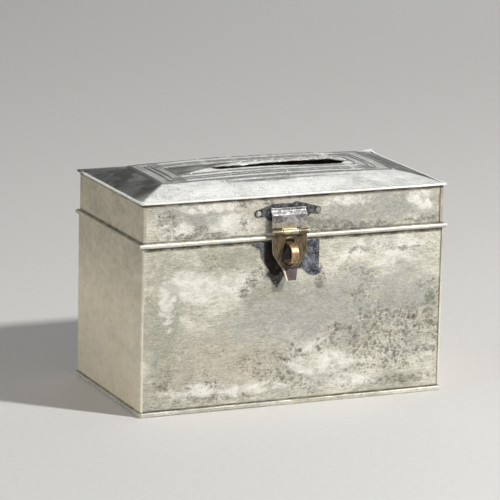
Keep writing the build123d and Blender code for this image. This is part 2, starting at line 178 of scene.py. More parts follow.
# Colours of the tin, of what lies on it, of what wears it, and of painted shade and highlight.
CREAM = (0.84, 0.805, 0.685)
TIN = (0.51, 0.49, 0.405)
SLATE = (0.39, 0.39, 0.375)
OLIVE = (0.43, 0.415, 0.30)
GRIME = (0.075, 0.068, 0.05)
# Seam grime, also used for the painted shadow under the lid's bead.
SEAM_GRIME_AND_SHADOW = (0.055, 0.05, 0.028)
CRUMBS = (0.095, 0.085, 0.052)
SMEAR = (0.24, 0.23, 0.17)
STAIN = (0.15, 0.14, 0.10)
# Blackened metal, also used for painted shade and a dark reflection on the lid's slopes.
BLACKENED_AND_SHADED = (0.09, 0.092, 0.082)
RUBBED = (1.0, 0.98, 0.92)
# Polished metal, also used for painted highlights on beads and corner laps.
POLISHED_AND_HIGHLIGHT = (0.97, 0.95, 0.87)
SCRATCH = (0.42, 0.40, 0.34)
FINE_GRAIN = (0.40, 0.38, 0.32)
DOT, SMALL_SPOT = (0.25, 0.225, 0.18), (0.21, 0.19, 0.15)
BIG_SPOT, SPOT_CORE = (0.25, 0.235, 0.20), (0.10, 0.09, 0.08)

body_low, body_high = corners("front_panel")
mouth_z = body_high.z
base_rim_z = corners("base_pan")[1].z


def rust_spots(s, colour):
    """Round brown spots of three sizes, crowded toward the front's lower right.

    Gives the new colour, and a mask of the pits.
    """
    lower_right = s.most(blob(s, 56, 32, 50, 42), blob(s, 20, 16, 50, 20))
    uneven_crowd = s.span(s.noise(15, 4, 0.6, 0, ROUND, 77), 0.30, 0.56, 0.35, 1.0)
    size_limit = s.span(s.times(lower_right, uneven_crowd), 0.0, 1.0, -0.10, 0.36)
    blots = s.cells(3.6, 9)
    big = s.span(s.minus(size_limit, blots), -0.03, 0.08)
    small = s.span(s.minus(s.times(size_limit, 1.3), s.cells(1.9, 19)), -0.03, 0.08)
    dots = s.span(s.minus(s.times(size_limit, 1.4), s.cells(1.05, 29)), -0.03, 0.08)
    core = s.span(s.minus(size_limit, blots), 0.08, 0.20)
    colour = s.mix(s.times(dots, 0.45), colour, DOT)
    colour = s.mix(s.times(small, 0.62), colour, SMALL_SPOT)
    colour = s.mix(s.times(big, 0.55), colour, BIG_SPOT)
    colour = s.mix(s.times(core, 0.65), colour, SPOT_CORE)
    return colour, s.most(big, small)


def tin(name, light=CREAM, middle=TIN, shift=0.0, brush=(5, 5, 0.4), dents=0.5, shine=0.36, cover=0.5,
        rusty=False, grime_and_shade=None, rubbed_and_highlit=None, stain=None, metallic=0.55, grit=1.0, streak=1.0,
        tarnish_and_shade=None, films_and_shade=None, specked=None):
    """Aged tinplate: clouded, brushed, stained and specked.

    The first mask adds grime in seams and corners, and a painted shadow under the lid's bead; the second
    rubbed bright metal, with painted highlights on beads and corner laps; stain one of dark marks; the
    tarnish mask blackened metal, with painted shade and a dark reflection on the lid's slopes; and specked
    one of crowded black specks. The coloured films come as (mask, colour) pairs, with painted shadow and
    shade among them. shift makes the noise of one piece differ from another's.
    """
    s = Surface(name, metallic)
    patches = s.span(s.noise(30, 3, 0.55, 0.9, (1.5, 1.5, 0.9), shift), 0.42, 0.60)
    clouds = s.span(s.noise(8, 6, 0.66, 0.5, (1.6, 1.6, 0.9), shift + 11), 0.38, 0.62)
    blotches = s.plus(s.times(patches, 0.55), s.times(clouds, 0.45))
    colour = s.mix(blotches, middle, light)
    tarnish = s.span(s.noise(14, 6, 0.68, 0.6, (1.3, 1.3, 0.9), shift + 23), 0.50, 0.70)
    colour = s.mix(s.times(tarnish, cover), colour, OLIVE)
    blue = s.span(s.noise(19, 4, 0.6, 0.8, (2, 2, 0.8), shift + 41), 0.53, 0.68)
    colour = s.mix(s.times(blue, cover * 0.6), colour, SLATE)
    strokes = s.noise(0.9, 3, 0.62, 0, brush, shift + 5)
    colour = s.mix(s.span(strokes, 0.50, 0.70, 0.0, 0.30 * streak), colour, RUBBED)
    colour = s.mix(s.span(strokes, 0.52, 0.34, 0.0, 0.40 * streak), colour, SCRATCH, "MULTIPLY")
    smears = s.span(s.noise(4.2, 8, 0.76, 0.3, (1.4, 1.4, 0.9), shift + 31), 0.55, 0.70)
    colour = s.mix(s.times(smears, cover * 0.8), colour, SMEAR)
    grain = s.noise(0.55, 4, 0.7, 0, (1.8, 1.8, 1), shift + 51)
    grouped = s.span(s.noise(10, 4, 0.65, 0, ROUND, shift + 61), 0.42, 0.60)
    specks = s.span(s.plus(grain, s.times(grouped, 0.09)), 0.64, 0.72)
    colour = s.mix(s.times(specks, 0.7 * grit), colour, GRIME)
    rough = s.span(blotches, 0.0, 1.0, shine + 0.16, shine)
    rough = s.plus(rough, s.times(tarnish, 0.14))
    pits = specks
    if rusty:
        colour, rust_pits = rust_spots(s, colour)
        pits = s.most(pits, rust_pits)
        rough = s.plus(rough, s.times(pits, 0.12))
    # Coloured films; on the front one pair paints the hasp's shadow, and on the lid one paints shade below
    # the panel.
    if films_and_shade is not None:
        for mask, layer_colour in films_and_shade(s):
            colour = s.mix(mask, colour, layer_colour)
    fine = s.noise(0.8, 5, 0.72, 0, (1.5, 1.5, 0.8), shift + 101)
    colour = s.mix(s.span(fine, 0.50, 0.30, 0.0, 0.5 * grit), colour, FINE_GRAIN, "MULTIPLY")
    colour = s.mix(s.span(fine, 0.52, 0.72, 0.0, 0.4 * grit), colour, RUBBED)
    # Rubbed bright metal; on beads and corner laps the mask also paints a highlight.
    if rubbed_and_highlit is not None:
        mask = s.times(rubbed_and_highlit(s), s.span(clouds, 0.0, 1.0, 0.45, 1.0))
        colour = s.mix(s.times(mask, 0.85), colour, POLISHED_AND_HIGHLIGHT)
        rough = s.minus(rough, s.times(mask, 0.14))
    # Blackened metal; on the lid's slopes the mask also paints shade and a dark reflection.
    if tarnish_and_shade is not None:
        mask = s.times(tarnish_and_shade(s), s.span(clouds, 0.0, 1.0, 1.0, 0.84))
        colour = s.mix(mask, colour, BLACKENED_AND_SHADED)
        rough = s.plus(rough, s.times(mask, 0.32))
    if stain is not None:
        ragged = s.noise(2.6, 8, 0.80, 0.6, (1.3, 1, 1), shift + 15)
        mask = s.span(s.plus(s.times(stain(s), 0.24), ragged), 0.56, 0.88)
        colour = s.mix(s.times(mask, 0.85), colour, STAIN)
    if specked is not None:
        crumbs = s.noise(0.85, 6, 0.78, 0.3, (1.3, 1, 1), shift + 111)
        patchy = s.span(s.noise(5.5, 5, 0.7, 0.4, (1.3, 1, 1), shift + 117), 0.36, 0.62)
        crowd = s.times(s.times(specked(s), patchy), 0.17)
        mask = s.span(s.plus(crowd, crumbs), 0.62, 0.76)
        colour = s.mix(s.times(mask, 0.85), colour, CRUMBS)
        rough = s.plus(rough, s.times(mask, 0.15))
    # Grime; at the top of the walls the mask also paints the shadow under the lid's bead.
    if grime_and_shade is not None:
        mask = grime_and_shade(s)
        broken = s.span(s.noise(7, 5, 0.75, 0, ROUND, shift + 71), 0.38, 0.62)
        mask = s.times(mask, s.plus(s.times(broken, 0.5), 0.5))
        colour = s.mix(s.times(mask, 0.95), colour, SEAM_GRIME_AND_SHADOW)
        rough = s.plus(rough, s.times(mask, 0.2))
    waves = s.bump(s.noise(24, 2, 0.45, 0.2, ROUND, shift + 81), dents * 1.5)
    waves = s.bump(s.noise(6, 3, 0.5, 0.2, ROUND, shift + 91), dents * 0.16, waves)
    waves = s.bump(strokes, 0.014 * streak, waves)
    waves = s.bump(s.minus(1.0, pits), 0.03, waves)
    return s.finish(colour, s.math("MINIMUM", rough, 0.85), waves)


def lead(name, light, dark, shift, metallic=0.55, lumps=0.12, shine=0.42, brassy=None, burnt_and_shaded=None):
    """Dull solder and scorched metal: dark, lumpy, with bright rubbed ridges.

    brassy is a mask where brass shows, and the last mask where sooty black, with a painted shadow, covers
    all.
    """
    s = Surface(name, metallic)
    clouds = s.span(s.noise(2.6, 7, 0.74, 0.5, ROUND, shift), 0.40, 0.64)
    colour = s.mix(clouds, dark, light)
    if brassy is not None:
        worn_through = s.span(s.noise(2.5, 4, 0.6, 0.3, ROUND, shift + 9), 0.36, 0.56)
        mask = s.times(brassy(s), s.plus(s.times(worn_through, 0.7), 0.3))
        colour = s.mix(mask, colour, (0.50, 0.43, 0.27))
    rubbed = s.span(s.pointed(), 0.505, 0.56)
    colour = s.mix(s.times(rubbed, 0.7), colour, (0.62, 0.61, 0.60))
    glints = s.span(s.noise(0.7, 4, 0.7, 0, ROUND, shift + 7), 0.60, 0.70)
    colour = s.mix(s.times(glints, 0.6), colour, (0.66, 0.65, 0.64))
    holes = s.span(s.noise(0.8, 3, 0.6, 0, ROUND, shift + 17), 0.40, 0.32)
    colour = s.mix(s.times(holes, 0.8), colour, (0.03, 0.03, 0.03))
    # Sooty black; on the staple's plate this is also the hasp's painted shadow.
    if burnt_and_shaded is not None:
        colour = s.mix(s.times(burnt_and_shaded(s), 0.97), colour, (0.013, 0.008, 0.006))
    rough = s.span(clouds, 0.0, 1.0, shine + 0.2, shine)
    bumps = s.bump(s.noise(1.6, 5, 0.65, 0.3, ROUND, shift + 27), lumps)
    return s.finish(colour, rough, bumps)


def brass(name, light, dark, shift, brush=(0.5, 1, 6), patina=None, edge=None):
    """Brown brass with tarnish and bright worn edges.

    patina is a mask of violet-grey tarnish, and edge one of metal rubbed bright.
    """
    s = Surface(name, 0.9)
    clouds = s.span(s.noise(4.5, 5, 0.64, 0.6, (1, 1, 1.4), shift), 0.36, 0.66)
    colour = s.mix(clouds, dark, light)
    strokes = s.noise(0.5, 3, 0.6, 0, brush, shift + 3)
    colour = s.mix(s.span(strokes, 0.40, 0.72, 0.0, 0.45), colour, (0.55, 0.44, 0.29))
    colour = s.mix(s.span(strokes, 0.48, 0.30, 0.0, 0.6), colour, (0.10, 0.07, 0.04))
    if patina is not None:
        colour = s.mix(s.times(patina(s), 0.88), colour, (0.085, 0.066, 0.077))
    worn = s.span(s.pointed(), 0.505, 0.55)
    if edge is not None:
        worn = s.most(worn, edge(s))
    colour = s.mix(s.times(worn, 0.8), colour, (0.80, 0.71, 0.54))
    verdigris = s.span(s.noise(2.2, 5, 0.7, 0, ROUND, shift + 13), 0.60, 0.74)
    colour = s.mix(s.times(verdigris, 0.4), colour, (0.12, 0.11, 0.07))
    rough = s.span(clouds, 0.0, 1.0, 0.50, 0.36)
    rough = s.plus(rough, s.times(verdigris, 0.2))
    bumps = s.bump(strokes, 0.02)
    bumps = s.bump(s.noise(3, 4, 0.6, 0, ROUND, shift + 23), 0.08, bumps)
    return s.finish(colour, rough, bumps)


def blob(s, x, z, wide, tall):
    """1 at a spot on the front, falling to 0 outside a ragged oval wide and tall from its middle."""
    across = s.math("DIVIDE", s.minus(s.x, x), wide)
    along = s.math("DIVIDE", s.minus(s.z, z), tall)
    away = s.plus(s.times(across, across), s.times(along, along))
    edge = s.noise(min(wide, tall) * 0.9, 6, 0.66, 0.5, (1.5, 1, 1), x * 0.37 + z * 0.53)
    return s.span(s.plus(away, s.span(edge, 0.3, 0.7, -0.7, 0.7)), 0.0, 1.0, 1.0, 0.0)


def blobs(s, places):
    """The union of several ovals."""
    total = None
    for place in places:
        spot = blob(s, *place)
        total = spot if total is None else s.most(total, spot)
    return total


def front_grime_and_bead_shadow(s):
    """Grime along the foot of the walls and in the corner seams, and a painted shadow in a band under the
    lid's bead.
    """
    foot = s.near(s.z, base_rim_z, 1.0)
    # Painted shadow of the lid's bead: a dark band at the top of the wall.
    top = s.span(s.z, mouth_z - 1.6, mouth_z - 0.9)
    seam = s.near(s.math("ABSOLUTE", s.x), body_high.x, 0.8)
    return s.most(s.most(foot, top), seam)


def front_clean(s):
    """Where the front has been rubbed bright."""
    return blobs(s, (
        (42, 68, 26, 8), (-42, 58, 28, 9), (16, 18, 22, 11),
        (22, 9, 24, 4), (-36, 9, 32, 5), (-62, 52, 5, 14),
    ))


def front_stain(s):
    """Dark marks round the hasp and along the right edge."""
    return blobs(s, (
        (-20, 60, 3, 9), (-25, 54, 3, 4), (13, 57, 4, 6), (69, 38, 4, 16), (32, 70, 8, 2.4),
        (56, 69, 9, 1.6), (-64, 13, 6, 4), (54, 7, 22, 3), (-40, 6, 24, 2.4),
    ))


def front_painted_hasp_shadow(s):
    """A painted shadow of the hasp on the front, a ragged diamond just below the staple's plate."""
    middle_x, middle_z, wide, tall = -9.0, 61.5, 5.0, 7.0
    across = s.math("ABSOLUTE", s.math("DIVIDE", s.minus(s.x, middle_x), wide))
    along = s.math("ABSOLUTE", s.math("DIVIDE", s.minus(s.z, middle_z), tall))
    edge = s.span(s.noise(1.6, 4, 0.6), 0.3, 0.7, -0.12, 0.12)
    return s.span(s.plus(s.plus(across, along), edge), 1.05, 0.85)


def front_specks(s):
    """Where black specks crowd on the front: left of the hasp, below the bead and in the lower left."""
    return blobs(s, (
        (-22, 57, 12, 14), (-44, 69, 30, 6), (12, 60, 5, 10),
        (-50, 16, 26, 16), (-10, 20, 26, 12), (52, 70, 24, 4),
    ))


def front_films_and_shadow(s):
    """Films on the front: cool grey in the middle, rusty lower left, olive at the left and by the hasp; and
    the hasp's painted shadow.
    """
    cool = s.most(blob(s, -4, 42, 46, 18), blob(s, 40, 48, 54, 16))
    rusty = blob(s, -40, 20, 36, 18)
    olive = s.most(blob(s, -64, 42, 16, 38), blob(s, -4, 52, 22, 8))
    olive = s.most(olive, blob(s, -40, 71, 44, 8))
    return (
        (s.times(cool, 0.72), (0.41, 0.41, 0.375)),
        (s.times(rusty, 0.45), (0.55, 0.47, 0.37)),
        (s.times(olive, 0.60), (0.36, 0.36, 0.27)),
        # The hasp's painted shadow, just below the staple's plate.
        (s.times(front_painted_hasp_shadow(s), 0.94), (0.02, 0.017, 0.014)),
    )


def lid_front_specks(s):
    """Where black specks crowd on the lid's front: over the bead, right of the hasp and below the rim."""
    return blobs(s, (
        (-24, 86, 4, 5), (-25, 95.5, 5, 3), (12, 84, 8, 5), (-46, 81.5, 28, 2.4), (38, 81.5, 32, 2.2),
        (-62, 88, 9, 8), (-10, 96.5, 34, 1.4), (40, 96.5, 24, 1.2),
    ))


def lid_front_tints(s):
    """Films on the lid's front: cool grey, darker toward its lower edge at the right."""
    cool = s.most(blob(s, 42, 88, 46, 11), blob(s, -56, 90, 22, 8))
    pink = blob(s, -12, 93, 26, 6)
    return (
        (s.times(cool, 0.75), (0.39, 0.388, 0.355)),
        (s.times(pink, 0.4), (0.66, 0.57, 0.50)),
    )


skirt_low, skirt_high = corners("lid_front_skirt")
bead_top = skirt_low.z + 2.3


def skirt_dirt(s):
    """Grime on top of the bead and below the rim."""
    above_bead = s.times(s.near(s.z, bead_top + 0.15, 0.9), 0.8)
    under_rim = s.span(s.z, skirt_high.z - 1.5, skirt_high.z - 0.9)
    return s.most(above_bead, under_rim)


def bead_rub_and_highlight(s):
    """The bead is rubbed bright along its crown, and a highlight is painted there."""
    below_top = s.span(s.z, bead_top - 0.4, bead_top - 0.9)
    above_foot = s.span(s.z, skirt_low.z + 0.3, skirt_low.z + 0.7, 0.0, 0.32)
    return s.times(below_top, above_foot)


def lid_front_rub_and_highlight(s):
    """Where the lid's front has been rubbed bright, and its bead, rubbed and with a painted highlight."""
    return s.most(bead_rub_and_highlight(s), blobs(s, (
        (-58, 85, 10, 5), (-34, 85, 14, 6), (64, 91, 8, 5), (28, 93, 14, 3), (-44, 94, 20, 3),
    )))


def lid_front_stain(s):
    """Dark marks on the lid's front."""
    return blobs(s, (
        (-25.5, 85.5, 3.4, 4.4), (-25, 95.5, 5, 2.8), (-62, 89, 7, 7), (10, 83, 9, 5), (18, 83, 8, 4),
        (34, 81.5, 22, 2), (-14, 95, 5, 3), (-50, 81.5, 26, 1.6), (64, 82, 12, 2), (-46, 84, 4, 3),
    ))


def rim_dirt(s):
    """Grime in the angle between the base's rim and the walls."""
    return s.times(s.near(s.z, base_rim_z, 0.7), 0.8)


def end_darker_to_top(s):
    """The ends are darker and duller toward the top."""
    return s.span(s.z, mouth_z - 46, mouth_z + 2, 0.02, 0.46)


def end_lap_rub_and_highlight(s):
    """The lap at the front corners is rubbed bright, with a painted highlight along the rounded corner."""
    return s.span(s.y, body_low.y + 1.1, body_low.y + 0.8, 0.0, 0.5)


def lid_end_tarnish(s):
    """The lid's ends are duller than the body's."""
    return s.span(s.z, skirt_low.z, skirt_high.z, 0.44, 0.50)


def slope_tarnish_and_reflection(s):
    """The lid's end slopes and its back slope are dark with tarnish and a painted dark reflection.

    So are a wedge of the panel left of the slot, and the hollows between the ridges at both its ends.
    """
    beyond_x = s.minus(s.math("ABSOLUTE", s.x), PANEL_HALF.x)
    beyond_y = s.minus(s.math("ABSOLUTE", s.y), PANEL_HALF.y)
    end_slope = s.times(s.span(beyond_x, -0.5, 0.8), s.span(s.minus(beyond_x, beyond_y), -2.0, 1.5))
    near_front = s.span(s.y, -37, -22, 0.45, 1.0)
    left = s.times(s.span(s.x, 1.0, -1.0), near_front)
    right = s.span(s.x, -1.0, 1.0)
    ends = s.times(end_slope, s.plus(left, right))
    wedge_front = s.plus(s.times(s.x, 0.5), 13.5)
    wedge = s.times(s.span(s.x, -44.6, -43.6), s.span(s.minus(s.y, wedge_front), -1.2, 1.2))
    wedge = s.times(wedge, s.span(s.y, 8.0, 7.0))
    hollows = s.most(s.span(s.x, -43.5, -44.5, 0.0, 0.62), s.span(s.x, 43.0, 46.0, 0.0, 0.60))
    on_panel = s.span(s.most(beyond_x, beyond_y), 0.3, -0.3)
    hollows = s.times(s.times(hollows, on_panel), s.span(s.pointed(), 0.502, 0.515, 1.0, 0.0))
    back_slope = s.times(s.span(s.y, 21, 26), s.span(s.x, 66, 60, 0.0, 0.9))
    return s.most(s.most(ends, wedge), s.most(hollows, back_slope))


def lid_streaks_and_shade(s):
    """Dull streaks along the front slope, below the panel and toward the right; the band just below the
    panel is painted shade.
    """
    from_panel = s.span(s.y, -33, -23)
    on_front = s.times(from_panel, s.span(s.y, -21.5, -22.5))
    streaks = s.span(s.noise(5, 6, 0.66, 0.4, (4, 1, 1), 301), 0.36, 0.62)
    toward_right = s.times(s.span(s.x, -10, 60), s.span(s.y, -21.5, -22.5))
    dull = s.most(on_front, s.times(toward_right, 0.7))
    return ((s.times(s.times(dull, streaks), 0.6), (0.45, 0.45, 0.43)),)


def panel_dirt(s):
    """Tarnish in the lid's hollows, where rubbing doesn't reach. The panel's front is rubbed cleaner."""
    return s.times(s.span(s.pointed(), 0.499, 0.47), s.span(s.y, -14, -4, 0.42, 0.75))


def assign(node, material):
    """Gives a CAD node, or a piece, its material."""
    mesh = (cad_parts[node] if isinstance(node, str) else node).data
    if not mesh.materials:
        mesh.materials.append(material)
    for index in range(len(mesh.materials)):
        mesh.materials[index] = material


END_LIGHT = (0.86, 0.765, 0.60)
END_MIDDLE = (0.75, 0.675, 0.51)
assign("front_panel", tin(
    "front tin", shift=2.0, rusty=True, grime_and_shade=front_grime_and_bead_shadow, rubbed_and_highlit=front_clean, stain=front_stain,
    films_and_shade=front_films_and_shadow, specked=front_specks,
))
assign("back_panel", tin("back tin", shift=141.0, grime_and_shade=front_grime_and_bead_shadow))
for end_name, end_shift in (("left", 31.0), ("right", 57.0)):
    assign(
        f"{end_name}_end_panel",
        tin(f"{end_name} end tin", END_LIGHT, END_MIDDLE, end_shift, (3, 3, 3), dents=0.35, shine=0.44,
            cover=0.25, grime_and_shade=rim_dirt, grit=0.4, streak=0.35, tarnish_and_shade=end_darker_to_top, rubbed_and_highlit=end_lap_rub_and_highlight),
    )
    assign(
        f"lid_{end_name}_skirt",
        tin(f"lid {end_name} tin", END_LIGHT, END_MIDDLE, end_shift + 9, (3, 3, 3), dents=0.3, shine=0.42,
            cover=0.35, grime_and_shade=skirt_dirt, rubbed_and_highlit=bead_rub_and_highlight, grit=0.4, streak=0.35, tarnish_and_shade=lid_end_tarnish),
    )
assign("base_pan", tin("base tin", CREAM, TIN, 88.0, (20, 20, 0.5), 0.2, 0.36, 0.5, grime_and_shade=rim_dirt))
assign("mouth_collar", tin("collar tin", CREAM, TIN, 97.0, (20, 20, 0.5), 0.2, 0.36, 0.5))
assign("lid_front_skirt", tin(
    "lid front tin", CREAM, TIN, 112.0, (5, 5, 0.4), 0.5, 0.34, 0.5, grime_and_shade=skirt_dirt, rubbed_and_highlit=lid_front_rub_and_highlight,
    stain=lid_front_stain, films_and_shade=lid_front_tints, specked=lid_front_specks,
))
assign("lid_back_skirt", tin(
    "lid back tin", CREAM, TIN, 127.0, (16, 16, 0.4), 0.5, 0.34, 0.5, grime_and_shade=skirt_dirt, rubbed_and_highlit=bead_rub_and_highlight,
))
wire = tin("wire steel", (0.5, 0.48, 0.42), (0.33, 0.31, 0.27), 151.0, (9, 9, 0.4), 0.05, 0.42, 0.5)
for wire_name in ("lid_edge_wire", "hinge_wire", "hasp_pin"):
    assign(wire_name, wire)
strap_tin = tin("strap tin", (0.7, 0.68, 0.6), (0.45, 0.43, 0.37), 163.0, (2, 2, 9), 0.1, 0.4, 0.6)
for strap_name in ("left_hinge_strap", "right_hinge_strap", "hinge_strap_rivets"):
    assign(strap_name, strap_tin)


# ---------------------------------------------------------------- pieces
def add_piece(name, mesh, body, material, replaced=None):
    """Puts a finished mesh in the scene as a piece of a body."""
    piece = bpy.data.objects.new(name, mesh)
    bpy.context.scene.collection.objects.link(piece)
    mesh.materials.clear()
    mesh.materials.append(material)
    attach(piece, body)
    if replaced:
        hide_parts(replaced)
    return piece


def soften(mesh, degrees=35):
    """Smooth shading, except over edges sharper than the angle."""
    mesh.shade_smooth()
    mesh.set_sharp_from_angle(angle=math.radians(degrees))


def worn_mesh(node, voxel, smoothing, dents, dent_size, seed):
    """A dense copy of a CAD node with softened edges and hand-made unevenness, which only goes inwards."""
    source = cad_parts[node]
    copy = bpy.data.objects.new(f"{node}_copy", source.data.copy())
    bpy.context.scene.collection.objects.link(copy)
    remesh = copy.modifiers.new("remesh", "REMESH")
    remesh.mode = "VOXEL"
    remesh.voxel_size = voxel * MM
    smooth = copy.modifiers.new("smooth", "SMOOTH")
    smooth.factor = 0.5
    smooth.iterations = smoothing
    shaped = copy.evaluated_get(bpy.context.evaluated_depsgraph_get())
    mesh = bpy.data.meshes.new_from_object(shaped)
    bpy.data.objects.remove(copy)
    offset = Vector((seed, seed * 2.3, seed * 0.7))
    moves = []
    for vertex in mesh.vertices:
        spot = vertex.co / (dent_size * MM) + offset
        moves.append(vertex.normal * (dents * MM * 0.5 * (noise.noise(spot) - 1)))
    for vertex, move in zip(mesh.vertices, moves):
        vertex.co += move
    mesh.shade_smooth()
    return mesh


# The lid's top sheet: hipped slopes, a crowned panel with pressed ridges, and a pried coin slot.
# Rows of its mesh run from the slot to the rim, and crowd together over the ridges, as columns do.
lid_low, lid_high = corners("lid_top")
RIM_THICKNESS = 0.8
SHEET = 0.45
RIM_RADIUS = 1.1
RIM_FLAT = 1.3
SLOPE_RISE = 4.1
STEP = 0.45
RIDGE = 0.45
RIDGE_HALF = 0.62
RIDGE_INSETS = (0.65, 6.1, 8.7, 13.4)  # how far each ridge lies inside the panel's edge
CROWN = 1.25
FRONT_FALL, BACK_FALL = 1.2, 0.1  # from the panel's middle to its front and back edges
SLOT_LEFT, SLOT_RIGHT, SLOT_Y = -25.5, 42.5, 1.0
BACK_LIP, FRONT_LIP = 0.45, 1.05  # how far the pried slot's lips are bent up and down
LIP_EDGE = 0.15  # both lips are drawn in by this much at the very edge
CORNER_KNOCK = 1.0  # how far the back right corner is bent up
COLUMN, FINE_COLUMN = 0.75, 0.30
ROWS = 84
ROW_STEPS = ((0.0, 0.0), (0.14, 0.14), (0.72, 0.54), (1.0, 1.0))  # share of rows, share of the way
RIM_PROFILE = (  # out from the sheet's edge, and up
    (0.26, -0.06), (0.34, -0.17), (0.35, -0.40), (0.34, -0.62), (0.20, -0.77), (-0.35, -0.79), (-0.9, -0.72),
)
rim_z = lid_low.z + RIM_THICKNESS
lid_half = Vector(((lid_high.x - lid_low.x) / 2, (lid_high.y - lid_low.y) / 2))
sheet_half = lid_half - Vector((0.35, 0.35))


def smoothstep(low, high, value):
    t = min(max((value - low) / (high - low), 0.0), 1.0)
    return t * t * (3 - 2 * t)


def uneven(x, y, size, seed):
    return noise.noise(Vector((x / size + seed, y / size - seed * 0.6, seed * 1.3)))


def steps(low, high, size):
    """Evenly spaced places from low up to, but not at, high."""
    count = max(round((high - low) / size), 1)
    return [low + (high - low) * n / count for n in range(count)]


def row_share(share):
    """How far a row lies from the slot to the rim, as a share, for its share of the rows."""
    for (low, near), (high, far) in zip(ROW_STEPS, ROW_STEPS[1:]):
        if share <= high:
            return near + (far - near) * (share - low) / (high - low)
    return 1.0


def slot_half_width(x, side):
    """Half-width of the coin slot at x, on its back (side 1) or front (side -1) lip."""
    if not SLOT_LEFT < x < SLOT_RIGHT:
        return 0.0
    opened = 0.75 + 2.5 * smoothstep(-22, 30, x) + 0.7 * smoothstep(-26, -22, x) * smoothstep(-9, -16, x)
    end = SLOT_RIGHT - (3.0 if side > 0 else 0.0)
    closing = smoothstep(end + 0.01, end - 4.5, x) * smoothstep(SLOT_LEFT, SLOT_LEFT + 3.5, x)
    ragged = 1 + 0.16 * uneven(x, side * 20, 2.3, 5) + 0.10 * uneven(x, side * 20, 0.8, 9)
    return max(opened * closing * ragged, 0.0)


def sheet_z(x, y, side):
    """Height of the lid's top sheet over its rim."""
    inset = min(sheet_half.x - abs(x), sheet_half.y - abs(y))
    rise_x = (sheet_half.x - RIM_FLAT - abs(x)) / (sheet_half.x - RIM_FLAT - PANEL_HALF.x)
    rise_y = (sheet_half.y - RIM_FLAT - abs(y)) / (sheet_half.y - RIM_FLAT - PANEL_HALF.y)
    rise = min(max(min(rise_x, rise_y), 0.0), 1.0)
    bow = 0.30 * math.sin(math.pi * rise)
    z = SLOPE_RISE * rise + bow
    into_x = PANEL_HALF.x - abs(x)
    into_y = PANEL_HALF.y - abs(y)
    blend = 1.1
    into = min(into_x, into_y)
    if abs(into_x - into_y) < blend:
        into -= (blend - abs(into_x - into_y)) ** 2 / (4 * blend)
    z += STEP * smoothstep(-1.0, 0.8, into)
    if into > -1.5:
        for ridge_inset in RIDGE_INSETS:
            away = abs(into - ridge_inset) / RIDGE_HALF
            if away < 1:
                z += RIDGE * (0.5 + 0.5 * math.cos(math.pi * away))
    over_panel = smoothstep(-6, 2, into)
    z += CROWN * max(1 - (x / PANEL_HALF.x) ** 2, 0.0) * over_panel
    fall = FRONT_FALL if y < 0 else BACK_FALL
    z -= fall * (y / PANEL_HALF.y) ** 2 * smoothstep(-2, 4, into)
    inner = smoothstep(0.5, 6, inset)
    z += inner * (0.16 * uneven(x, y, 17, 3) + 0.07 * uneven(x, y, 6, 8) - 0.12)
    to_slot = abs(y - SLOT_Y) - slot_half_width(x, side)
    along = max(smoothstep(-8, 18, x), 0.62 * smoothstep(-27, -21, x)) * smoothstep(46, 38, x)
    if side > 0:
        z += BACK_LIP * along * math.exp(-max(to_slot, 0) / 2.6)
    else:
        z -= FRONT_LIP * along * math.exp(-max(to_slot, 0) / 2.0)
    beside_slot = smoothstep(SLOT_LEFT - 2, SLOT_LEFT + 2, x) * smoothstep(46, 42, x)
    z -= LIP_EDGE * math.exp(-max(to_slot, 0) / 0.5) * beside_slot
    return z


def rim_lift(x, y):
    """How far the rim wanders from flat. Its back right corner is knocked up."""
    corner = math.hypot(x - lid_half.x, y - lid_half.y)
    wave = 0.10 * uneven(x, y, 11, 21) + 0.05 * uneven(x, y, 3.5, 27)
    return wave + CORNER_KNOCK * smoothstep(7.0, 0.0, corner)


def rounded(x, y, half):
    """Moves points near a sharp corner onto a round one."""
    deep_x = abs(x) - (half.x - RIM_RADIUS)
    deep_y = abs(y) - (half.y - RIM_RADIUS)
    if deep_x <= 0 or deep_y <= 0:
        return x, y
    shrink = max(deep_x, deep_y) / math.hypot(deep_x, deep_y)
    new_x = half.x - RIM_RADIUS + deep_x * shrink
    new_y = half.y - RIM_RADIUS + deep_y * shrink
    return math.copysign(new_x, x), math.copysign(new_y, y)


